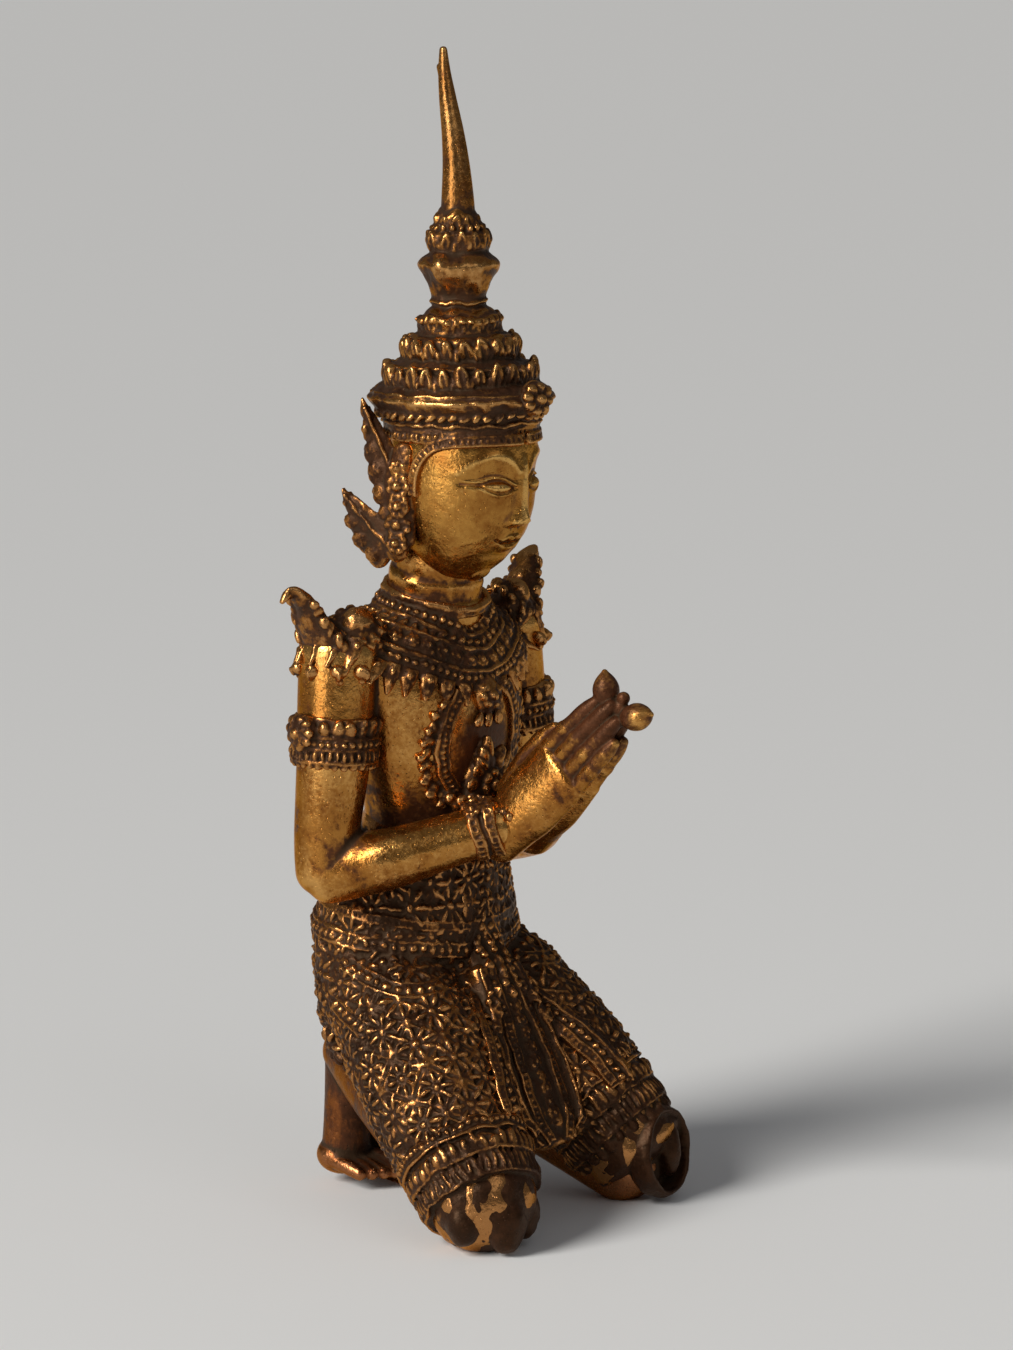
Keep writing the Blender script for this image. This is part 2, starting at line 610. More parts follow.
def lay_thigh(wax, side, knee_only=False):
    """One thigh, round and heavy, down to the knee on the ground, or its knee end only."""
    upper = (((HIP.lerp(KNEE, 0.68), 15.0, 15.0), (HIP.lerp(KNEE, 0.76), 15.4, 15.4))
             if knee_only else
             ((HIP + Vector((0.5, 3, 0)), 15.4, 15.4), (HIP.lerp(KNEE, 0.22), 17.2, 16.8),
              (HIP.lerp(KNEE, 0.5), 17.6, 17.4), (HIP.lerp(KNEE, 0.75), 16.0, 16.0)))
    lay_limb(wax, side, (*upper, (HIP.lerp(KNEE, 0.93), 14.2, 14.2), (KNEE, 13.6, 13.6)),
             sides=64 if knee_only else 48, dome=0.95 if side > 0 else 0.35)


def lay_web(wax):
    """The cloth and casting between the thighs."""
    wax.ball((0, -12, 57), (18, 12, 12))
    wax.limb(((0, -4, 52, 18, 16), (0, -14, 44, 19, 13), (0, -24, 37, 18, 9.5),
              (0, -32, 31, 15, 6.0)))
    for side in (-1, 1):
        wax.limb(((-12 * side, 6, 42, 10, 9), (-18 * side, -12, 32, 9, 9),
                  (-26 * side, -30, 22, 8, 8)))


PANEL = (
    (0, -17.5, 72, 5.4, 3.4), (0, -22.0, 64, 6.6, 3.6), (0, -27.5, 54, 8.6, 3.8),
    (0, -32.5, 44, 10.6, 3.8), (0, -37.5, 34, 11.4, 3.6), (0, -41.5, 26.5, 10.2, 3.0),
    (0, -43.8, 22.0, 6.4, 2.2),
)


def one_skin(wax, grain):
    """A finder for the fused outer skin of the wax, in shares."""
    figure = fused(wax, "core", grain)
    settled(figure)
    shape = bmesh.new()
    shape.from_mesh(figure.data)
    bmesh.ops.scale(shape, vec=Vector((1, 1, 1)) / SHARE, verts=shape.verts)
    bmesh.ops.translate(shape, vec=-Vector(STAND), verts=shape.verts)
    tree = BVHTree.FromBMesh(shape)
    shape.free()
    bpy.data.objects.remove(figure)
    return tree


def bead():
    """A small round bead of radius 1."""
    shape = bmesh.new()
    bmesh.ops.create_uvsphere(shape, u_segments=10, v_segments=7, radius=1.0)
    return shape


def petal(taper=0.55):
    """A drop that lies along X, its narrow end at X = 0."""
    shape = bead()
    for vert in shape.verts:
        vert.co.y *= 0.5 * (1 + taper * vert.co.x)
        vert.co.z *= 0.45 * (1 + 0.3 * vert.co.x)
        vert.co.x = vert.co.x * 0.5 + 0.5
    return shape


def turns(count, start=0.0):
    """Even turns all round."""
    return [2 * math.pi * (index + start) / count for index in range(count)]


def flower(petals, heart, slim=1.0, taper=0.55):
    """A flower of radius 1, petals round a bead."""
    shape = bead()
    bmesh.ops.scale(shape, vec=(heart, heart, heart), verts=shape.verts)
    bmesh.ops.translate(shape, vec=(0, 0, heart * 0.3), verts=shape.verts)
    for turn in turns(petals):
        leaf = petal(taper)
        turn = Matrix.Rotation(turn, 4, "Z")
        bmesh.ops.transform(leaf, verts=leaf.verts, matrix=turn
                            @ Matrix.Translation((heart * 0.6, 0, 0))
                            @ Matrix.Diagonal((1 - heart * 0.6, 4.4 * slim / petals, 0.5, 1)))
        mesh = bpy.data.meshes.new("leaf")
        leaf.to_mesh(mesh)
        leaf.free()
        shape.from_mesh(mesh)
        bpy.data.meshes.remove(mesh)
    return shape


def place_on(spot, normal, ahead, size, lift=0.0):
    """A frame on the skin: X ahead, Z outwards, scaled by size or by three sizes."""
    side = normal.cross(ahead).normalized()
    sway = Matrix.Rotation(hand.uniform(-0.2, 0.2), 3, normal)
    side, ahead = sway @ side, sway @ side.cross(normal).normalized()
    sizes = [s * hand.uniform(0.78, 1.14) for s in
             (size if isinstance(size, tuple) else (size,) * 3)]
    turn = Matrix((ahead * sizes[0], side * sizes[1], normal * sizes[2])).transposed().to_4x4()
    turn.translation = spot + normal * lift
    return turn


def paced(hits, pitch, looped=False):
    """Even steps along points of the skin: (spot, normal, ahead) every pitch."""
    hits = list(hits) + ([hits[0]] if looped else [])
    spots = np.array([h[0] for h in hits])
    normals = np.array([h[1] for h in hits])
    run = np.concatenate(([0], np.cumsum(np.linalg.norm(np.diff(spots, axis=0), axis=1))))
    count = max(1, round(run[-1] / pitch))
    at = (np.arange(count) + (0 if looped else 0.5)) * run[-1] / count

    def read(table, where):
        return Vector([np.interp(where, run, table[:, axis]) for axis in range(3)])

    steps = []
    for where in at:
        ahead = read(spots, min(where + 0.3, run[-1])) - read(spots, max(where - 0.3, 0))
        steps.append((read(spots, where), read(normals, where).normalized(),
                      ahead.normalized()))
    return steps


def beside(hits, looped):
    """Each point of a line on the skin, with the ways outwards and sideways there."""
    count = len(hits)
    for index, (spot, normal) in enumerate(hits):
        after = (index + 1) % count if looped else min(index + 1, count - 1)
        before = index - 1 if looped else max(index - 1, 0)
        yield spot, normal, normal.cross(hits[after][0] - hits[before][0]).normalized()


def thread(wax, hits, radius, shift=0.0, lift=0.15, looped=False):
    """A wax thread pressed along points of the skin, shifted sideways by a little."""
    wax.tube([(spot + side * shift + normal * lift, side * radius, normal * radius)
              for spot, normal, side in beside(hits, looped)], 8, looped)


def strip(wax, hits, half, rise, looped=False):
    """A flat strip of wax laid along points of the skin."""
    wax.tube([(spot + normal * rise * 0.1, side * half, normal * rise)
              for spot, normal, side in beside(hits, looped)], 16, looped)


def press(wax, shape, spot, normal, ahead, size, lift):
    """One small shape pressed on the wax."""
    wax.keep(shape, [place_on(spot, normal, ahead, size, lift)])


def press_ring(wax, shape, hits, pitch, size, lift, way=None):
    """Small shapes pressed all round a ring, every pitch, along it or along a way."""
    wax.keep(shape, [place_on(spot, normal, way or ahead, size, lift)
                     for spot, normal, ahead in paced(hits, pitch, looped=True)])


def bead_row(wax, hits, pitch, radius, looped=False, lift=0.2, long=1.0, tilt=0.0):
    """Beads along points of the skin; long and tilt make them a twisted cord."""
    wax.keep(bead(), [place_on(spot, normal, Matrix.Rotation(tilt, 3, normal) @ ahead,
                               (radius * long, radius, radius), lift)
                      for spot, normal, ahead in paced(hits, pitch, looped)])


def border(wax, hits, half, looped=False, lift=0.5):
    """Two threads with a row of beads between."""
    for shift in (-half, half):
        thread(wax, hits, 0.5, shift, lift, looped)
    bead_row(wax, hits, half * 1.5, half * 0.6, looped, lift)


def runs(hits):
    """The unbroken stretches of a line of points, some of which may be None."""
    found, stretch = [], []
    for hit in list(hits) + [None]:
        if hit is not None:
            stretch.append(hit)
        elif len(stretch) > 3:
            found.append(stretch)
            stretch = []
        else:
            stretch = []
    return found


cloth_wax = Wax()
cloth_wax.limb([(x, y, z, wide + 0.7, deep + 0.7) for x, y, z, wide, deep in TORSO[:8]],
               sides=64, dome=0.56)
for side in (1, -1):
    lay_thigh(cloth_wax, side)
lay_web(cloth_wax)
cloth_tree = one_skin(cloth_wax, 0.7)

DIAMONDS_ROUND_THIGH = 8
DIAMONDS_ROUND_HIPS = 13
DIAMOND = 13.6
THIGH_AIM = (KNEE - HIP).normalized()
THIGH_LONG = (KNEE - HIP).length


def thigh_out(side, turn):
    """The way out of the thigh, at a turn from its outer side."""
    aim, outer = of_side(THIGH_AIM, side), Vector((-side, 0, 0))
    outer = (outer - aim * aim.dot(outer)).normalized()
    return outer * math.cos(turn) + aim.cross(outer) * side * math.sin(turn)


def thigh_spot(side, along, turn, reach=24.0):
    """A point of the trouser leg: shares along the thigh from the hip, turn from outside."""
    start = of_side(HIP, side) + of_side(THIGH_AIM, side) * along
    spot, normal, _, gap = cloth_tree.ray_cast(start, thigh_out(side, turn))
    return None if spot is None or gap > reach or spot.z > 69 else (spot, normal)


def hip_spot(height, turn):
    """A point of the hips: a height and a turn from the front, or None over the thighs."""
    out = Vector((math.sin(turn), -math.cos(turn) * 0.75, 0)).normalized()
    spot, normal, _, gap = cloth_tree.ray_cast(Vector((0, -2, height)), out)
    if spot is None:
        return None
    side = 1 if spot.x < 0 else -1
    along = (spot - of_side(HIP, side)).dot(of_side(THIGH_AIM, side))
    return None if along > -1.5 and spot.z < 66 else (spot, normal)


def lattice(wax, spot_at, columns, low, high):
    """Diamonds of double threads with a long-petalled star in each and beads all about."""
    steps = int((high - low) / 1.1)
    for column in range(columns):
        for lean in (1, -1):
            line = []
            for step in range(steps + 1):
                along = low + (high - low) * step / steps
                share = column + 0.5 + lean * along / DIAMOND
                line.append(spot_at(along, 2 * math.pi * share / columns))
            for stretch in runs(line):
                for shift in (-0.8, 0.8):
                    thread(wax, stretch, 0.46, shift, 0.5)
    stars, knots, berries = [], [], []
    for row in range(int(low / DIAMOND * 2) - 1, int(high / DIAMOND * 2) + 2):
        for column in range(columns):
            along = row * DIAMOND / 2
            turn = 2 * math.pi * (column + (row % 2) * 0.5) / columns
            here, ahead = spot_at(along, turn), spot_at(along + 1.0, turn)
            if low + 2 < along < high - 1 and here and ahead:
                way = (ahead[0] - here[0]).normalized()
                stars.append(place_on(here[0], here[1], way, (6.0, 5.2, 5.0), 0.2))
                for index in range(8):
                    gap = math.pi * (index + 0.5) / 4 + hand.uniform(-0.2, 0.2)
                    out = 3.7 + hand.uniform(-0.4, 0.5)
                    near = spot_at(along + out * math.cos(gap),
                                   turn + 2 * math.pi * out * math.sin(gap) / DIAMOND / columns)
                    if near:
                        berries.append(place_on(near[0], near[1], way, 0.7, 0.3))
            turn = 2 * math.pi * (column + 0.5 + (row % 2) * 0.5) / columns
            here = spot_at(along, turn)
            if here and low + 1 < along < high - 1:
                knots.append(place_on(here[0], here[1], Vector((0.3, 0.4, 1)), 2.3, 0.3))
    wax.keep(flower(8, 0.2, 0.5, 0.0), stars)
    wax.keep(bead(), berries)
    wax.keep(flower(5, 0.4), knots)


def edged(wax, hits, half, looped=False):
    """A raised strip with a beaded border on it."""
    strip(wax, hits, half + 0.7, 1.0, looped)
    border(wax, hits, half, looped, 1.0)


for side in (1, -1):
    lattice(cloth_wax, lambda along, turn: thigh_spot(side, along, turn),
            DIAMONDS_ROUND_THIGH, -9.0, THIGH_LONG * (0.79 if side > 0 else 0.69))
lattice(cloth_wax, hip_spot, DIAMONDS_ROUND_HIPS, 44.0, 97.0)

# The belts, each with its height in front and at the back, then the crescents on the hips.
for low, high, half in ((99.0, 98.0, 1.0), (70.0, 76.0, 1.6), (76.0, 82.5, 0.9)):
    ring = []
    for turn in np.linspace(0, 2 * math.pi, 96, endpoint=False):
        height = low + (high - low) * (0.5 - 0.5 * math.cos(turn))
        out = Vector((math.sin(turn), -math.cos(turn), 0))
        ring.append(cloth_tree.ray_cast(Vector((0, -3, height)), out)[:2])
    edged(cloth_wax, ring, half, looped=True)
for side in (-1, 1):
    for drop, half in ((0.0, 1.9), (11.0, 1.7)):
        line = []
        for x, y, z in spread(((2.0, -40.0, 76.0 - drop), (16.0, -40.0, 66.0 - drop * 0.9),
                               (34.0, -22.0, 62.5 - drop), (44.0, 2.0, 68.0 - drop * 0.9)), 12):
            spot, normal, _, _ = cloth_tree.ray_cast(
                Vector((x * side, y, z)), Vector((-x * side, -2 - y, 0)).normalized())
            line.append((spot, normal) if spot else None)
        for stretch in runs(line):
            edged(cloth_wax, stretch, half)
cloth_wax.handled(0.4, 8.0)
cloth_wax.handled(0.09, 2.4)
cloth = aged_gilding("dark_lacquered_cloth", (0.30, 0.118, 0.029, 1),
                     (0.042, 0.015, 0.0063, 1), cover=-0.34,
                     wear=0.9, dirt=1.1, sheen=0.23)
cast(cloth_wax, "trouser_cloth", 0.36, 178000, cloth, stains=(
    ((0, -20, 66), (10, 10, 22), "soot", 0.35), ((-16, 2, 36), (13, 15, 12), "soot", 0.8),
    ((-15, 4, 35), (15, 15, 12), "bare", 1.5), ((-23, -22, 24), (13, 16, 11), "bare", 1.5),
    ((15, 4, 35), (15, 15, 12), "bare", 1.5), ((23, -22, 24), (13, 16, 11), "bare", 1.5),
))


# The stiff front cloth that hangs from the belt between the thighs, with its knot and
# tassels, and the two pointed flaps along the thighs. Wax sheet edged with bordered threads.

def skin_hit(tree, start, toward):
    """Where a ray from start first meets the skin, and the skin's direction there."""
    spot, normal, _, _ = tree.ray_cast(Vector(start), Vector(toward).normalized())
    if spot is None:
        spot, normal, _, _ = tree.find_nearest(Vector(start))
    return (spot, -normal) if normal.dot(Vector(toward)) > 0 else (spot, normal)


UP = Vector((0, 0, 1))
panel_wax = Wax()
panel_wax.limb(PANEL, steps=8, sides=40, dome=0.6)
for side in (-1, 1):
    panel_wax.limb([(x + side * wide * 0.9, y - 1.0, z, 2.2, 2.6)
                    for x, y, z, wide, _ in PANEL[1:-1]], sides=20)
panel_tree = panel_wax.tree()
for shift, half in ((-0.62, 1.1), (0.62, 1.1), (-1.12, 0.8), (1.12, 0.8)):
    border(panel_wax, [skin_hit(panel_tree, (shift * wide * 0.86, y - 30, z + 15), (0, 1, -0.5))
                       for _, y, z, wide, _ in spread(PANEL[1:], 7)], half)
for _, y, z, _, _ in spread(PANEL[1:-1], 3):
    press(panel_wax, flower(6, 0.35),
          *skin_hit(panel_tree, (0, y - 30, z + 15), (0, 1, -0.5)), UP, 2.0, 0.2)
for side in (-1, 0, 1):
    sash = [skin_hit(body_tree if z > 100 else cloth_tree, (side * 5.4, -60, z), (0, 1, 0))
            for z in range(106, 70, -2)]
    if side:
        strip(panel_wax, sash, 1.7, 0.9)
        border(panel_wax, sash, 1.0)
    else:
        strip(panel_wax, sash, 4.6, 0.7)
        for turned in (0.5, -0.5):
            panel_wax.keep(petal(0.1), [
                place_on(spot, normal, ahead + normal.cross(ahead) * turned, (3.6, 1.7, 2.2), 0.7)
                for spot, normal, ahead in paced(sash, 3.2)])
    for index in range(7):
        start = (side * 3.4 + math.sin(index) * 0.3, -60, 80 - index * 2.3 + abs(side) * 1.2)
        press(panel_wax, petal(0.4), *skin_hit(panel_tree, start, (0, 1, -0.2)),
              Vector((0.1 * side, 0, -1)), (2.8, 2.2, 2.6), 0.5)


def flap_line(tree, side, points, shift=0.0):
    """Points of a flap's face, shifted to one side of its middle."""
    return [skin_hit(tree, (x * side + shift, -80, z + 18), (0, 1, -0.35)) for x, z in points]


for side in (-1, 1):
    flap = spread(((7.0, 62.0), (12.0, 52.0), (17.0, 42.0), (20.5, 33.0), (22.0, 27.0)), 8)
    strip(panel_wax, flap_line(cloth_tree, side, flap), 4.0, 1.7)
    flap_tree = panel_wax.tree()
    for shift in (-2.9, 2.9):
        border(panel_wax, flap_line(flap_tree, side, flap[1:-1], shift), 1.0)
    bead_row(panel_wax, flap_line(flap_tree, side, flap[1:-1]), 2.6, 1.0)
panel_wax.handled(0.4, 7.0)
panel_wax.handled(0.11, 2.4)
cast(panel_wax, "front_cloth", 0.34, 62000, cloth, stains=(
    ((0, -22, 70), (8, 10, 12), "soot", 0.3), ((0, -44, 28), (12, 8, 8), "soot", 0.2),
))


# The knee cuffs: rows of beads, upright petals and flutes between threads, over round bare
# kneecaps. On the left knee the casting stands open in front, a rim round a boss.

KNEE_RADIUS = 13.6
KNEE_LOBES = ((-1.35, 4.6, 6.2), (-0.25, 5.4, 8.0), (0.85, 4.8, 7.0))
MOUTH_WIDE, MOUTH_TALL = 9.8, 10.8
KNEE_SLIDES = ((1, 0.025), (-1, -0.08))  # side, and how far its cuff slides down the thigh


def ring_round(tree, side, share):
    """Hits on the skin all round the thigh at a share of its length."""
    centre = of_side(HIP.lerp(KNEE, share), side)
    return [skin_hit(tree, centre + out * 40, -out)
            for out in (thigh_out(side, turn) for turn in turns(72))]


def lay_drum(wax, centre, aim, radius, long, bulge, middle, side=(1, 0, 0), sides=64):
    """The drum under a band, round a limb, with a swollen middle and two rims."""
    wax.limb([(*(centre + aim * long * 0.5 * t), radius + grow, radius + grow)
              for t, grow in ((-1, 0.2), (-0.8, bulge), (-0.5, bulge * 0.5), (0, bulge * middle),
                              (0.5, bulge * 0.5), (0.8, bulge), (1, 0.2))],
             side=side, steps=3, sides=sides, dome=0.05)


knee_wax = Wax()
for side, slide in KNEE_SLIDES:
    lay_thigh(knee_wax, side, knee_only=True)
    for share, thick, long, bulge in ((0.77, 2.8, 3.6, 0.5), (0.85, 2.3, 4.6, 0.5),
                                      (0.94, 1.5, 4.6, 0.4)):
        lay_drum(knee_wax, of_side(HIP.lerp(KNEE, share + slide), side),
                 of_side(THIGH_AIM, side), KNEE_RADIUS + thick, long, bulge, 0.7)
for turn, wide, tall in KNEE_LOBES:
    spot = KNEE + Vector((math.sin(turn) * 10.2, -math.cos(turn) * 10.2, -3.6))
    knee_wax.ball(spot, (wide, 4.2, tall), Matrix.Rotation(turn, 3, "Z"), segments=40)
mouth = of_side(KNEE, -1) + Vector((0.5, -7.0, 1.2))
mouth_face = Vector((0.12, -0.985, 0.10)).normalized()
mouth_up = (UP - mouth_face * mouth_face.z).normalized()
mouth_side = mouth_face.cross(mouth_up).normalized()
knee_wax.tube([(mouth + mouth_side * math.cos(turn) * MOUTH_WIDE
                + mouth_up * math.sin(turn) * MOUTH_TALL,
                (mouth_side * math.cos(turn) + mouth_up * math.sin(turn)) * 1.25,
                mouth_face * 3.4) for turn in turns(72)], 20, looped=True)
knee_wax.ball(mouth - mouth_face * 3.6, (MOUTH_WIDE, 3.0, MOUTH_TALL),
              Matrix((mouth_side, mouth_face, mouth_up)).transposed(), segments=32)
knee_wax.ball(mouth + mouth_face * 0.5 - mouth_side * 2.6, (3.4, 4.2, 7.4), segments=32)
knee_tree = knee_wax.tree()
for side, slide in KNEE_SLIDES:
    up = -of_side(THIGH_AIM, side)
    bead_ring, leaf_ring, flute_ring, fringe = (
        ring_round(knee_tree, side, share + slide) for share in (0.77, 0.85, 0.93, 0.98))
    for share in (0.735, 0.795, 0.805, 0.885, 0.975):
        thread(knee_wax, ring_round(knee_tree, side, share + slide), 0.45, 0, 0.25, looped=True)
    bead_row(knee_wax, bead_ring, 1.9, 0.8, looped=True, lift=0.3)
    knee_wax.keep(petal(-0.35), [
        place_on(spot - up * 2.2, normal, up, (4.6, 2.6, 2.2), 0.15)
        for spot, normal, _ in paced(leaf_ring, 2.7, looped=True)])
    press_ring(knee_wax, bead(), flute_ring, 1.7, (2.9, 0.6, 0.8), 0.25, up)
    knee_wax.keep(petal(0.2), [
        place_on(spot, normal, -up, (3.4, 2.6, 2.0), 0.3)
        for spot, normal, _ in paced(fringe, 3.6, looped=True) if spot.y < -40 or side < 0])
knee_wax.handled(0.5, 7.0)
knee_wax.handled(0.12, 2.4)
cast(knee_wax, "knee_cuffs", 0.4, 84000, cloth, smoothing=2, stains=(
    ((-33, -60, 6), (20, 13, 16), "bare", 1.9), ((31, -52, 9), (17, 14, 16), "bare", 1.8),
    ((31, -40, 4), (20, 16, 8), "soot", 0.3), ((-28, -56, 17), (7, 5, 4), "soot", 0.4),
))


# The wide collar on chest, shoulders and back: cords, beads and a fringe of leaves, with a
# flame-shaped wing rising from each shoulder and a round boss at its foot.

COLLAR_FRONT = 134.0
COLLAR_SIDE = 145.5


def collar_hit(turn, reach):
    """A point of the collar: turn round the neck, reach from 0 at the neck to 1 outside."""
    out = Vector((math.sin(turn), -math.cos(turn), 0))
    near = (1 + math.cos(turn)) / 2
    side = abs(math.sin(turn))
    inner = Vector((out.x * 11.0, -5.0 + out.y * 10.5, 158.0 - 1.5 * near))
    low = COLLAR_SIDE + (COLLAR_FRONT - COLLAR_SIDE) * math.cos(turn) ** 2
    outer = Vector((out.x * (26 + 11 * side), -4.0 + out.y * 17.5, low))
    spot = inner.lerp(outer, reach)
    spot.z += 5.5 * math.sin(math.pi * reach) * side ** 2
    outward = Vector((out.x * (0.35 + 0.65 * reach), out.y * (0.35 + 0.65 * reach),
                      1.0 - 0.8 * reach * (1 - 0.55 * side))).normalized()
    return skin_hit(body_tree, spot + outward * 14, -outward)


def collar_ring(reach):
    """Hits all round the collar at one reach."""
    return [collar_hit(turn, reach) for turn in turns(120)]


collar_wax = Wax()
for reach, half, rise in ((0.06, 1.6, 1.0), (0.16, 2.0, 0.9), (0.3, 2.6, 1.0),
                          (0.46, 2.8, 1.1), (0.62, 3.0, 1.2), (0.76, 2.6, 1.1)):
    strip(collar_wax, collar_ring(reach), half, rise, looped=True)
for reach, thick, lift in ((0.04, 1.15, 0.6), (0.24, 0.7, 1.2), (0.43, 0.75, 1.4),
                           (0.69, 0.7, 1.4)):
    thread(collar_wax, collar_ring(reach), thick, 0, lift, looped=True)
bead_row(collar_wax, collar_ring(0.15), 2.1, 0.95, looped=True, lift=1.1)
bead_row(collar_wax, collar_ring(0.34), 2.6, 0.85, looped=True, lift=1.3, long=1.5, tilt=0.7)
press_ring(collar_wax, flower(6, 0.4), collar_ring(0.56), 4.3, 2.2, 1.3)
bead_row(collar_wax, collar_ring(0.76), 2.2, 0.95, looped=True, lift=1.3)
LEAVES = 34
for turn in turns(LEAVES, 0.5):
    root, normal = collar_hit(turn, 0.82)
    tip, tip_normal = collar_hit(turn, 1.06)
    ahead = (tip - root).normalized()
    side = normal.cross(ahead)
    collar_wax.tube([(root.lerp(tip, t) + normal.lerp(tip_normal, t) * 0.6, side * wide,
                      normal.lerp(tip_normal, t) * 1.2)
                     for t, wide in ((0, 2.2), (0.2, 2.35), (0.45, 2.1), (0.75, 1.25),
                                     (0.92, 0.7), (1.0, 0.3))], 14)
    press(collar_wax, bead(), root.lerp(tip, 0.25), normal, ahead, (1.3, 0.9, 0.9), 1.6)
    press(collar_wax, bead(), root.lerp(tip, 0.62), tip_normal, ahead, (1.6, 0.5, 0.6), 1.5)
centre, normal = collar_hit(0, 0.98)
collar_wax.ball(centre + Vector((0, -0.6, 1.0)), (4.6, 2.4, 4.8))
press(collar_wax, flower(7, 0.4), centre + UP, normal, UP, 4.2, 2.0)
for x in (-2.4, 0, 2.4):
    press(collar_wax, petal(0.5), centre + Vector((x, 0, -2.5)), normal,
          Vector((x * 0.12, 0, -1)), (5.2, 3.0, 2.6), 1.0)


def lay_epaulette(wax, side):
    """The upturned wing on a shoulder, its tip hooked outwards, with leaf curls at its foot."""
    foot = of_side((-33.0, 0.4, 149.0), side)
    rows = ((-33.6, 0.0, 147.0, 6.4, 8.6), (-37.6, 0.8, 152.0, 4.0, 6.8),
            (-40.6, 1.4, 157.0, 2.6, 5.0), (-42.9, 2.0, 161.5, 2.0, 3.5),
            (-45.6, 2.6, 164.4, 1.7, 2.6), (-48.2, 3.2, 164.2, 1.2, 1.5),
            (-49.6, 3.6, 162.6, 0.6, 0.8))
    rows = [(x * side, y, z, a, b) for x, y, z, a, b in rows]
    wax.limb(rows, side=(1, 0, 0.4 * side), steps=8, sides=28)
    for index in range(3):
        x, y, z, a, b = rows[index]
        nx, ny, nz = rows[index + 1][:3]
        up = (Vector((nx, ny, nz)) - Vector((x, y, z))).normalized()
        for lean in (-1, 1):
            for out in (0.25, 0.75):
                face = Vector((-side * 0.9, lean * 0.45, 0.1)).normalized()
                spot = Vector((x, y, z)) + up * (out * 5) + Vector((0, lean * b * 0.55, 0))
                spot += face * a * 0.55
                press(wax, petal(0.2), spot, face, up + Vector((0, lean * 0.5, 0)),
                      (4.2 - index * 0.5, 2.6, 2.4), 0.6)
    for index in range(9):
        turn = math.radians(-170 + index * 40)
        spot = foot + Vector((math.sin(turn) * 8.9 * side, -math.cos(turn) * 10.4, -4.6))
        out = (spot - foot).normalized()
        wax.ball(spot, (2.1, 2.1, 1.9), segments=14)
        press(wax, bead(), spot + out * 1.8, out, UP, (1.5, 0.7, 0.7), 0.2)
        press(wax, petal(0.5), spot - UP * 0.5, out, Vector((0.3, 0.2, -1)), (3.2, 2.4, 2.2), 0.6)
    boss = foot + Vector((3.0 * side, -3.4, 4.2))
    wax.ball(boss, (6.4, 6.4, 3.6), segments=22)
    top = Vector((-0.25 * side, -0.55, 0.8)).normalized()
    for shape, size, lift in ((flower(9, 0.35), 5.4, 3.2), (flower(12, 0.6), 6.8, 2.2)):
        press(wax, shape, boss, top, Vector((1, 0, 0)), size, lift)


for side in (1, -1):
    lay_epaulette(collar_wax, side)
jewel = aged_gilding("worn_leaf_on_jewellery", (0.34, 0.142, 0.035, 1),
                     (0.062, 0.023, 0.010, 1), cover=-0.24,
                     wear=0.9, dirt=1.15, sheen=0.24)
collar_wax.handled(0.4, 7.0)
collar_wax.handled(0.13, 2.4)
cast(collar_wax, "collar", 0.36, 124000, jewel, stains=(
    ((-30, -2, 152), (9, 9, 7), "soot", 0.25), ((0, -16, 157), (10, 8, 3), "soot", 0.3),
))


# The body chain: two pairs of cords from the collar to a flower brooch over the belly, with
# leaf curls along the outer side, and the same cords crossing on the back.

CHAIN = ((8.5, 137.0), (12.6, 130.0), (13.6, 122.0), (11.0, 114.5), (5.0, 108.5), (0.0, 106.5))
chain_wax = Wax()
for facing in (-1, 1):
    for side in (-1, 1):
        hits = [skin_hit(body_tree, (x * side, 40 * facing, z), (0, -facing, 0))
                for x, z in spread(CHAIN, 8)]
        strip(chain_wax, hits, 2.3, 0.9)
        for shift in (1.5, -1.5):
            thread(chain_wax, hits, 0.7, shift, 0.7)
        bead_row(chain_wax, hits, 1.7, 0.85, lift=0.8, long=1.2, tilt=0.6)
        edge = [skin_hit(body_tree, ((x + 3.6) * side, 40 * facing, z - 1.2),
                         (0, -facing, 0)) for x, z in spread(CHAIN[:-1], 8)]
        if facing < 0:
            places = []
            for spot, normal, ahead in paced(edge, 3.3):
                out = normal.cross(ahead) * side
                chain_wax.ball(spot, (1.7, 1.3, 1.7), segments=14)
                places.append(place_on(spot, normal, ahead + out * 1.2, (3.4, 2.6, 2.6), 0.6))
            chain_wax.keep(petal(0.6), places)
spot, normal = skin_hit(body_tree, (0, -40, 113.0), (0, 1, 0))
chain_wax.ball(spot, (6.6, 4.0, 6.6), segments=26)
chain_wax.limb(((*(spot + Vector((0, -0.6, 4))), 5.2, 2.8),
                (*(spot + Vector((0, -0.6, 8.5))), 3.2, 2.0),
                (*(spot + Vector((0, -0.2, 12.5))), 0.8, 0.9)), steps=4, sides=20)
press(chain_wax, flower(9, 0.3), spot, normal, UP, (7.8, 7.8, 4.5), 2.6)
press(chain_wax, flower(6, 0.42), spot, normal, UP, 4.2, 3.9)
for lean, long in ((0.0, 11.5), (0.5, 9.0), (-0.5, 9.0), (0.95, 8.0), (-0.95, 8.0)):
    press(chain_wax, petal(-0.2), spot + Vector((0, -0.6, 2.5)), normal,
          Vector((math.sin(lean), 0.05, math.cos(lean))), (long, 3.6, 4.0), 1.8)
for lean in (0.9, 0.45, 0, -0.45, -0.9):
    press(chain_wax, petal(0.3), spot - UP * 2.5, normal,
          Vector((math.sin(lean), 0, -math.cos(lean))), (7.0, 3.2, 3.6), 1.2)
chain_wax.handled(0.3, 6.0)
chain_wax.handled(0.11, 2.4)
cast(chain_wax, "body_chain", 0.34, 54000, jewel, stains=(
    ((0, -20, 108), (9, 6, 8), "soot", 0.35),
))


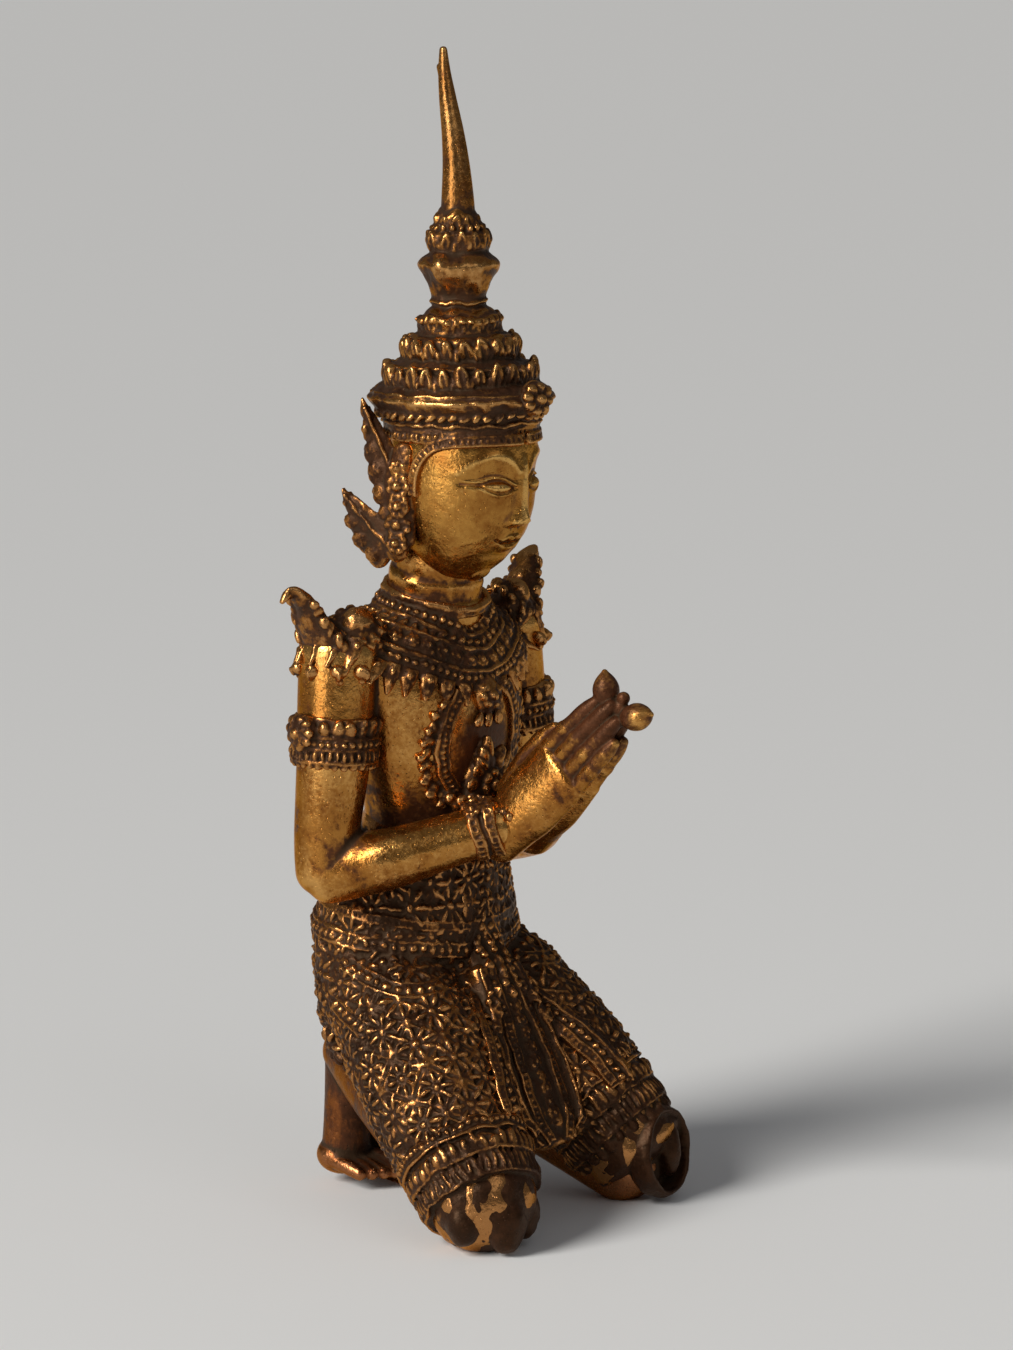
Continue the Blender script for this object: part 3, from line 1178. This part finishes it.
# Armlets with a round flower on the outer side, and double bracelets with a small flower,
# pressed from beaded and fluted wax strips.

def ring_at(centre, aim, radius):
    """Points of a circle round a limb, facing outwards."""
    across = aim.orthogonal().normalized()
    over = aim.cross(across)
    outs = [across * math.cos(turn) + over * math.sin(turn) for turn in turns(64)]
    return [(centre + out * radius, out) for out in outs]


band_wax = Wax()
for side in (1, -1):
    aim = (of_side(ELBOW, side) - of_side(SHOULDER, side)).normalized()
    centre = of_side(SHOULDER.lerp(ELBOW, 0.38) + Vector((-1.0, -1.2, 0)), side)
    lay_drum(band_wax, centre, aim, 10.0, 11.5, 0.3, 0.6, sides=56)
    for shift, radius, thick in ((-1.0, 10.4, 0.6), (1.9, 10.5, 0.55), (5.2, 10.5, 0.6)):
        thread(band_wax, ring_at(centre + aim * shift, aim, radius), thick, looped=True)
    bead_row(band_wax, ring_at(centre + aim * 0.45, aim, 10.7), 2.0, 0.85, looped=True)
    bead_row(band_wax, ring_at(centre + aim * 6.2, aim, 10.0), 2.2, 1.0, looped=True)
    press_ring(band_wax, bead(), ring_at(centre + aim * 3.5, aim, 10.6), 1.9,
               (1.7, 0.65, 0.8), 0.1, aim)
    press_ring(band_wax, petal(-0.3), ring_at(centre - aim * 1.4, aim, 10.3), 3.6,
               (4.6, 3.4, 2.8), 0.2, -aim)
    boss = centre + Vector((-10.4 * side, 1.5, 2.4))
    out = Vector((-side, 0.15, 0.1)).normalized()
    band_wax.ball(boss, (2.2, 4.6, 5.0))
    press(band_wax, flower(9, 0.34), boss, out, UP, 5.4, 1.2)
    press(band_wax, flower(6, 0.5), boss, out, UP, 3.0, 2.0)
    aim = (of_side(WRIST, side) - of_side(ELBOW, side)).normalized()
    near = of_side(ELBOW.lerp(WRIST, 0.93) + Vector((-0.6, -0.4, 0)), side)
    lay_drum(band_wax, near, aim, 6.7, 7.0, 0.1, 0.6, UP, sides=56)
    for shift in (-3.0, -1.1, 1.1, 3.0):
        thread(band_wax, ring_at(near + aim * shift, aim, 6.95), 0.62, looped=True)
    for shift in (-2.05, 2.05):
        bead_row(band_wax, ring_at(near + aim * shift, aim, 7.0), 1.7, 0.62, looped=True)
    press(band_wax, flower(8, 0.4), near + Vector((-4.6 * side, 0, 5.2)),
          Vector((-0.6 * side, 0, 0.8)), aim, 3.0, 0.6)
band_wax.handled(0.4, 7.0)
band_wax.handled(0.11, 2.4)
cast(band_wax, "armlets_and_bracelets", 0.34, 74000, jewel)


# The tall crown: a band with a sharp brim, rows of upright petals, a vase and a bent spire.
# Turned wax rings with petals pressed round them, cast as one with the head.

CROWN_FOOT = Vector((0.0, -13.0, 203.0))
CROWN_LEAN = math.radians(1.2)
BAND_OVAL = 1.14
BAND_PROFILE = (
    (15.0, -3.0), (17.0, -2.6), (17.6, -1.4), (17.3, 0.2), (18.0, 1.2), (17.8, 2.2),
    (19.3, 4.4), (21.6, 7.4), (21.9, 8.2), (21.3, 8.9), (18.6, 11.4), (15.0, 12.0))
STEPS_PROFILE = (
    (17.5, 10.0), (18.0, 12.0), (17.4, 15.5), (15.4, 17.4), (13.4, 18.4), (13.8, 20.5),
    (12.6, 23.4), (9.6, 24.0), (9.8, 25.6), (9.9, 27.6), (8.6, 29.6), (7.0, 30.6))
VASE_PROFILE = (
    (6.9, 29.0), (6.7, 31.5), (7.0, 34.0), (8.6, 37.5), (10.2, 40.3), (10.3, 41.8), (8.4, 43.6),
    (7.4, 44.6), (7.8, 46.0), (7.6, 49.0), (5.4, 50.2), (5.5, 52.6), (4.8, 54.4), (4.2, 55.2))
SPIRE = ((0, 0.0, 53.0, 4.4, 4.4), (0, 0.0, 58.0, 4.1, 4.1), (0, 0.3, 66.0, 3.4, 3.5),
         (0, 1.2, 74.0, 2.8, 2.9), (0, 2.6, 82.0, 2.2, 2.3), (0, 3.6, 89.0, 1.5, 1.7),
         (0, 3.9, 94.8, 0.9, 1.1))
PETAL_ROWS = ((26, 18.6, 13.8, 2.15, 3.3), (20, 14.2, 20.6, 2.1, 3.2), (16, 9.6, 26.4, 1.8, 2.6),
              (12, 7.2, 47.4, 1.8, 2.4), (10, 5.2, 52.0, 1.5, 2.0))


def crown_place(height):
    """A frame on the crown's axis, at a height over its foot."""
    lean = Matrix.Rotation(-CROWN_LEAN, 4, "X")
    return Matrix.Translation(CROWN_FOOT) @ lean @ Matrix.Translation((0, 0, height))


def lay_turned(wax, profile, place, sides=96):
    """A turned form: profile is (radius, height) from the bottom up, about place's own Z."""
    shape = bmesh.new()
    rows = len(profile) - 1
    for vert in bmesh.ops.create_grid(shape, x_segments=sides, y_segments=rows,
                                      size=1.0)["verts"]:
        turn = math.pi * (vert.co.x + 1)
        radius, height = profile[round((vert.co.y + 1) / 2 * rows)]
        vert.co = place @ Vector((radius * math.cos(turn), radius * math.sin(turn), height))
    bmesh.ops.remove_doubles(shape, verts=shape.verts, dist=1e-4)
    bmesh.ops.holes_fill(shape, edges=shape.edges, sides=0)
    wax.keep(shape)


def crown_ring(radius, height, oval=1.0):
    """Points of a ring about the crown's axis, facing outwards."""
    place = crown_place(height)
    outs = [Vector((math.sin(turn), -math.cos(turn) * oval, 0)) for turn in turns(96)]
    return [(place @ (out * radius), (place.to_3x3() @ out).normalized()) for out in outs]


def upright_leaf():
    """A blunt leaf standing along X, with a groove down its face."""
    shape = bmesh.new()
    bmesh.ops.create_uvsphere(shape, u_segments=18, v_segments=12, radius=1.0)
    for vert in shape.verts:
        x, y, z = vert.co
        groove = 0.42 * math.exp(-(y / 0.3) ** 2) * max(z, 0) * min(1.0, 1.3 - x)
        vert.co = (x, y * (1 - 0.22 * max(x, 0)), z * (0.8 + 0.25 * x) - groove)
    return shape


crown_wax = Wax()
for profile, oval in ((BAND_PROFILE, BAND_OVAL), (STEPS_PROFILE, 1.0), (VASE_PROFILE, 1.0)):
    lay_turned(crown_wax, spread(profile, 3),
               crown_place(0) @ Matrix.Diagonal((1.0, oval, 1.0, 1.0)))
for radius, height, thick, oval in (
        (17.7, -1.9, 0.5, BAND_OVAL), (17.6, 0.6, 0.45, BAND_OVAL), (18.1, 2.0, 0.5, BAND_OVAL),
        (20.6, 9.6, 0.45, BAND_OVAL), (17.9, 11.6, 0.55, 1.0), (17.2, 16.2, 0.4, 1.0),
        (13.7, 19.2, 0.55, 1.0), (10.0, 24.4, 0.6, 1.0), (9.9, 28.2, 0.5, 1.0),
        (6.9, 32.0, 0.4, 1.0)):
    thread(crown_wax, crown_ring(radius, height, oval), thick, looped=True)
bead_row(crown_wax, crown_ring(17.6, -0.7, BAND_OVAL), 1.7, 0.75, looped=True)
bead_row(crown_wax, crown_ring(19.4, 4.2, BAND_OVAL), 3.0, 0.95, looped=True, long=1.7,
         tilt=0.6)
for count, radius, height, wide, tall in PETAL_ROWS:
    leaves, darts = [], []
    for index in range(count):
        for share, kept in ((0.5, leaves), (1.0, darts)):
            turn = 2 * math.pi * (index + share) / count
            place = crown_place(height) @ Matrix.Rotation(turn, 4, "Z")
            up, out = place.to_3x3().col[2], -place.to_3x3().col[1]
            spot = place @ Vector((0, -radius, 0))
            if kept is leaves:
                kept.append(place_on(spot, out, up, (tall * 1.05, wide * 0.98, wide * 0.95)))
            else:
                kept.append(place_on(spot - up * tall * 0.4, out, up, (tall * 0.7, 0.8, 1.1)))
    crown_wax.keep(upright_leaf(), leaves)
    crown_wax.keep(bead(), darts)
bead_row(crown_wax, crown_ring(10.2, 27.4), 2.0, 0.9, looped=True)
bead_row(crown_wax, crown_ring(6.0, 50.6), 2.2, 0.95, looped=True)
crown_wax.handled(0.5, 8.0)
crown_wax.handled(0.2, 2.8)
place = crown_place(0)
crown_wax.limb([(*(place @ Vector(row[:3])), row[3], row[4]) for row in SPIRE], steps=8)
crown_wax.limb([(*(place @ Vector((0, y, z))), 0.8, 0.9)
                for y, z in ((2.2, 80.0), (4.0, 86.0), (5.2, 90.6))], steps=4, sides=14)
medal = crown_place(8.6) @ Vector((0, -23.6, 0))
crown_wax.ball(medal, (4.4, 2.4, 4.6), segments=24)
press(crown_wax, flower(8, 0.36), medal, Vector((0, -1, 0)), UP, 5.2, 1.6)
head_tree = head_wax.tree()
for side in (1, -1):
    hairline = [skin_hit(head_tree, (x * side, y, z), (-x * side, -8 - y, 0))
                for x, y, z in spread(((2.0, -60, 201.5), (20, -44, 201.5), (30, -30, 200.5),
                                       (36, -22, 197.0), (40, -18, 192.0), (40, -17, 187.0)), 8)]
    strip(crown_wax, hairline, 1.6, 0.9)
    border(crown_wax, hairline, 1.0, lift=1.0)
crown_leaf = aged_gilding("worn_leaf_on_crown", (0.36, 0.158, 0.039, 1),
                          (0.068, 0.027, 0.0125, 1), cover=-0.1,
                          wear=0.9, dirt=1.1, sheen=0.24)
cast(crown_wax, "crown", 0.34, 110000, crown_leaf, stains=(
    ((0, -12, 243), (12, 12, 4), "soot", 0.8), ((0, -12, 222), (16, 16, 4.5), "soot", 0.8),
    ((0, -30, 212), (14, 10, 6), "bare", 0.3), ((-12, -8, 234), (6, 8, 7), "bare", -0.35),
    ((0, -12, 275), (8, 8, 26), "bare", -0.35),
))


# The ear jewels: a curl over each ear, a tall flame rising behind it and a short one swept
# back, cut from wax plate with scalloped edges.

def lay_flame(wax, root, up, out, length, width, lean, thick, barbs):
    """A flame-shaped plate at root, rising along up and leaning along out."""
    up, out = up.normalized(), out.normalized()
    out = (out - up * out.dot(up)).normalized()
    flat = out.cross(up)
    def half_at(t):
        return width * 0.5 * math.sin(math.pi * min(1.0, 0.2 + 0.8 * t)) ** 0.8 * (1 - t * 0.35)

    frames, curls = [], []
    for t in np.linspace(0, 1, 61).tolist():
        middle, half = lean * t ** 2.2 * length, half_at(t)
        tooth = abs(math.sin(math.pi * t * barbs)) ** 0.6 * 0.16 * width * (1 - t * 0.7)
        left, right = middle - half, middle + half + tooth
        spot = root + up * t * length + out * (left + right) / 2
        frames.append((spot, out * max(0.15, (right - left) / 2), flat * thick * 0.5
                       * (1 - 0.5 * t)))
    for index in range(barbs):
        t = (index + 0.35) / barbs
        half = half_at(t)
        for face in (-1, 1):
            spot = root + up * t * length + out * (lean * t ** 2.2 * length + half * 0.1)
            curls.append(place_on(spot, flat * face, up * 0.6 + out,
                                  (half * 1.25, half * 0.9, thick * 0.55),
                                  thick * 0.34 * (1 - 0.5 * t)))
    wax.tube(frames, 24)
    wax.keep(petal(0.3), curls)
    for face in (-1, 1):
        ridge = [(root + up * t * length + out * (lean * t ** 2.2 * length - width * 0.22
                                                  * (1 - t)), flat * face)
                 for t in np.linspace(0.02, 0.93, 24)]
        thread(wax, ridge, 0.55, 0, thick * 0.4)


wing_wax = Wax()
for side in (1, -1):
    ear = HEAD_CENTRE + Vector((-16.6 * side, 6.6, -1.0))
    wing_wax.limb(((ear.x, ear.y - 1.0, ear.z - 10, 2.2, 3.4),
                   (ear.x, ear.y, ear.z - 3, 2.6, 4.6),
                   (ear.x * 1.02, ear.y + 0.4, ear.z + 4, 2.6, 4.4),
                   (ear.x, ear.y - 1.0, ear.z + 12, 2.0, 3.0)), sides=24)
    back_way = Vector((-0.32 * side, 1, 0)).normalized()
    lay_flame(wing_wax, ear + Vector((0, -0.4, -6.0)), Vector((-0.05 * side, 0.3, 1)),
              back_way, 33.0, 10.5, 0.06, 3.2, barbs=6)
    lay_flame(wing_wax, ear + Vector((-1.0 * side, 2.0, -15.0)),
              Vector((-0.18 * side, 0.75, 0.78)), Vector((0, 1, -0.6)), 21.5, 12.0, -0.1, 3.2,
              barbs=4)
    out = Vector((-side, -0.25, 0)).normalized()
    for drop, size in ((8.0, 2.6), (3.5, 3.4), (-1.5, 3.9), (-6.5, 3.6), (-11.0, 3.2)):
        spot = ear + Vector((-1.2 * side, -1.2 + abs(drop) * 0.06, drop))
        press(wing_wax, flower(7, 0.4), spot, out, UP, size, 1.4)
    wing_wax.ball(ear + Vector((-0.6 * side, 1.0, -13.0)), (2.6, 3.2, 3.4))
wing_wax.handled(0.3, 6.0)
wing_wax.handled(0.14, 1.8)
cast(wing_wax, "ear_jewels", 0.34, 55000, jewel, stains=(
    ((-20, 2, 176), (9, 12, 9), "soot", 0.35), ((20, 2, 176), (9, 12, 9), "soot", 0.35),
))


# A plain pale floor under soft daylight from a large window at the upper left, in a pale room,
# seen from the figure's right front and a little above. None of it belongs to the statue.

floor_shape = bmesh.new()
bmesh.ops.create_grid(floor_shape, x_segments=1, y_segments=1, size=20.0)
floor_mesh = bpy.data.meshes.new("floor")
floor_shape.to_mesh(floor_mesh)
floor_shape.free()
floor = bpy.data.objects.new("floor", floor_mesh)
bpy.context.scene.collection.objects.link(floor)
pale = bpy.data.materials.new("pale_floor")
pale.use_nodes = True
for socket, value in (("Base Color", (0.82, 0.82, 0.81, 1)), ("Roughness", 0.8)):
    pale.node_tree.nodes["Principled BSDF"].inputs[socket].default_value = value
floor_mesh.materials.append(pale)

world = bpy.data.worlds.new("room")
world.use_nodes = True
for socket, value in (("Color", (0.86, 0.88, 0.92, 1)), ("Strength", 0.15)):
    world.node_tree.nodes["Background"].inputs[socket].default_value = value
bpy.context.scene.world = world
bpy.context.scene.view_settings.view_transform = "Standard"


def daylight(name, kind, spot, power, size, colour):
    """A soft lamp that looks at the figure's chest: a wide panel, or even light from afar."""
    data = bpy.data.lights.new(name, kind)
    data.energy, data.color = power, colour
    if kind == "SUN":
        data.angle = size
    else:
        data.size = size
    lamp = bpy.data.objects.new(name, data)
    lamp.location = spot
    lamp.rotation_euler = (Vector((0, 0, 0.15)) - Vector(spot)).to_track_quat("-Z", "Y").to_euler()
    bpy.context.scene.collection.objects.link(lamp)


daylight("sky_light", "SUN", (-1.4, 0.25, 1.15), 2.7, math.radians(26), (1.0, 0.98, 0.95))
daylight("window", "AREA", (-1.15, 0.15, 0.35), 3.5, 0.6, (1.0, 0.98, 0.95))
daylight("room_light", "AREA", (-0.5, -1.5, 1.4), 3, 1.2, (0.97, 0.98, 1.0))

eye = bpy.data.cameras.new("eye")
eye.lens = 140.4
eye.sensor_width = 36
camera = bpy.data.objects.new("eye", eye)
turn, pitch = math.radians(-50), math.radians(9.7)
back = Vector((math.sin(turn) * math.cos(pitch), -math.cos(turn) * math.cos(pitch),
               math.sin(pitch)))
aimed_at = Vector((13.7, -16.3, 138.0))
camera.location = (aimed_at + back * 1350 + Vector(STAND)) * SHARE
camera.rotation_euler = (-back).to_track_quat("-Z", "Y").to_euler()
bpy.context.scene.collection.objects.link(camera)
bpy.context.scene.camera = camera
